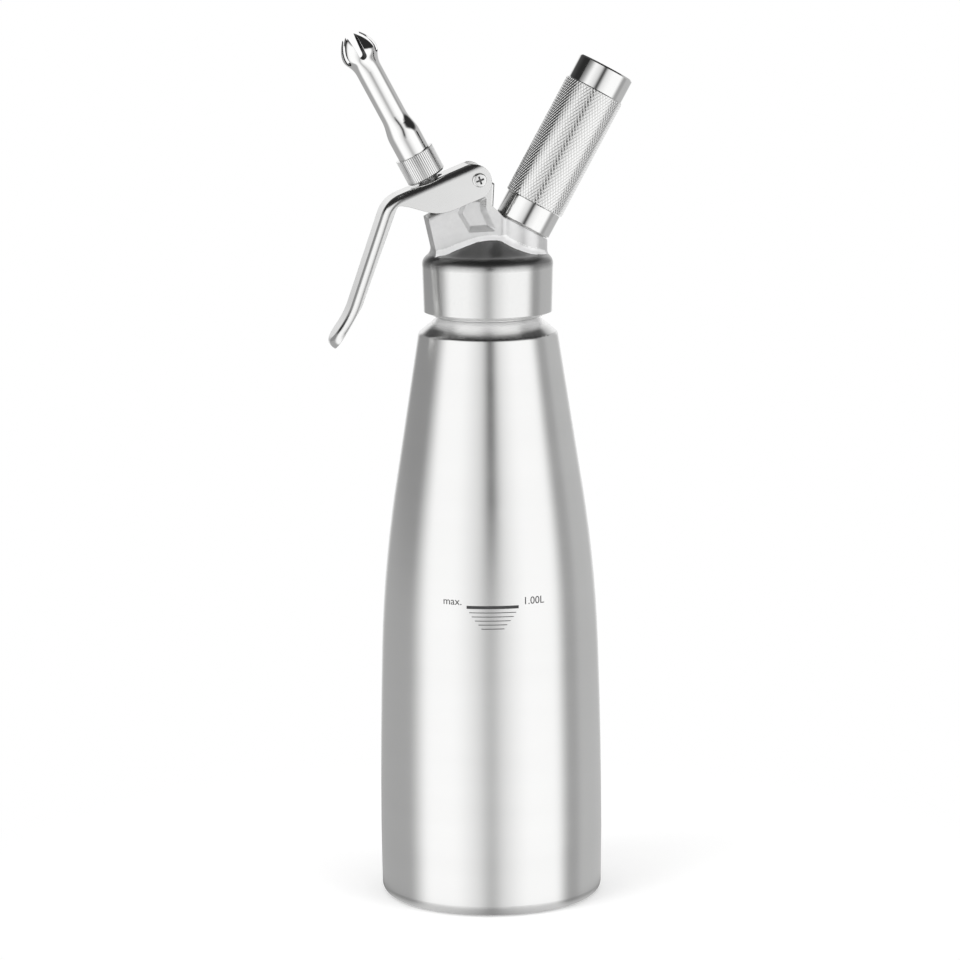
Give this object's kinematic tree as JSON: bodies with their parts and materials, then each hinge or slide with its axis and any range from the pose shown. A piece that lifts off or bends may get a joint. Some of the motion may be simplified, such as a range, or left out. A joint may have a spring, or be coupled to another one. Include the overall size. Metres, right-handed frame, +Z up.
{
  "type": "whipped cream dispenser",
  "caption": "Stainless-steel cream whipper: tapered bottle, screw-on head, squeeze lever, petal nozzle and knurled gas-charger holder.",
  "frame": {"origin": "centre of the bottle's base, on the surface that it stands on", "axes": "+Z up along the bottle's axis; the nozzle and lever lean towards -X, the charger holder towards +X; -Y is the near side, with the pivot screw's head"},
  "size_m": [0.1366, 0.1, 0.3902],
  "materials": {
    "bottle_steel": "stainless steel, finely brushed round the bottle",
    "head_steel": "cast stainless steel, satin, turned collar",
    "lever_steel": "pressed stainless sheet, polished",
    "screw_steel": "polished stainless steel",
    "ring_steel": "polished stainless steel, straight knurl",
    "nozzle_steel": "polished stainless steel",
    "holder_steel": "turned stainless steel, diamond knurl between smooth bands",
    "polished_steel": "polished stainless steel",
    "spring_steel": "drawn stainless spring wire",
    "charger_steel": "zinc-plated pressed steel",
    "piercer_brass": "turned brass",
    "seal_rubber": "food-grade silicone rubber, matt"
  },
  "bodies": {
    "bottle": {"bottle": "bottle_steel"},
    "gasket": {"head_gasket": "seal_rubber"},
    "head": {"head": "head_steel", "pivot_sleeve": "screw_steel", "pivot_screw": "screw_steel", "return_spring": "spring_steel", "piercer_body": "piercer_brass", "piercing_pin": "polished_steel", "piercer_seal": "seal_rubber", "check_spring": "spring_steel"},
    "lever": {"lever": "lever_steel"},
    "valve": {"valve_stem": "polished_steel", "valve_seal": "seal_rubber", "stem_oring": "seal_rubber", "spring_nut": "polished_steel"},
    "washer": {"nozzle_washer": "seal_rubber"},
    "nozzle": {"nozzle_ring": "ring_steel", "nozzle": "nozzle_steel"},
    "charger": {"charger": "charger_steel"},
    "holder": {"charger_holder": "holder_steel"},
    "check_ball": {"check_ball": "polished_steel"}
  },
  "joints": [
    {"name": "head_lift", "type": "slide", "parent": "bottle", "child": "gasket", "axis": [0, 0, 1], "range_m": [0, 0.045]},
    {"name": "head_turn", "type": "hinge", "parent": "gasket", "child": "head", "pos_m": [0, 0, 0.27497], "axis": [0, 0, 1], "continuous": true},
    {"name": "lever_pivot", "type": "hinge", "parent": "head", "child": "lever", "pos_m": [-0.005, 0, 0.32467], "axis": [0, -1, 0], "range_deg": [0, 12], "stiffness_Nm_per_rad": 0.74, "springref_deg": -22.35},
    {"name": "valve_slide", "type": "slide", "parent": "head", "child": "valve", "axis": [0.4695, 0, -0.8829], "range_m": [0, 0.00398], "deforming": ["return_spring"]},
    {"name": "nozzle_lift", "type": "slide", "parent": "valve", "child": "washer", "axis": [-0.4695, 0, 0.8829], "range_m": [0, 0.02]},
    {"name": "nozzle_turn", "type": "hinge", "parent": "washer", "child": "nozzle", "pos_m": [0, 0, 0.27497], "axis": [-0.4695, 0, 0.8829], "continuous": true},
    {"name": "holder_lift", "type": "slide", "parent": "head", "child": "charger", "axis": [0.4848, 0, 0.8746], "range_m": [0, 0.05]},
    {"name": "holder_turn", "type": "hinge", "parent": "charger", "child": "holder", "pos_m": [0, 0, 0.27497], "axis": [0.4848, 0, 0.8746], "continuous": true},
    {"name": "check_valve_lift", "type": "slide", "parent": "head", "child": "check_ball", "axis": [-0.4848, 0, -0.8746], "range_m": [0, 0.0012], "stiffness_N_per_m": 20, "springref_m": -0.001, "deforming": ["check_spring"]}
  ],
  "couplings": [
    {"joint": "valve_slide", "follows": "lever_pivot", "m_per_rad": 0.018987}
  ]
}
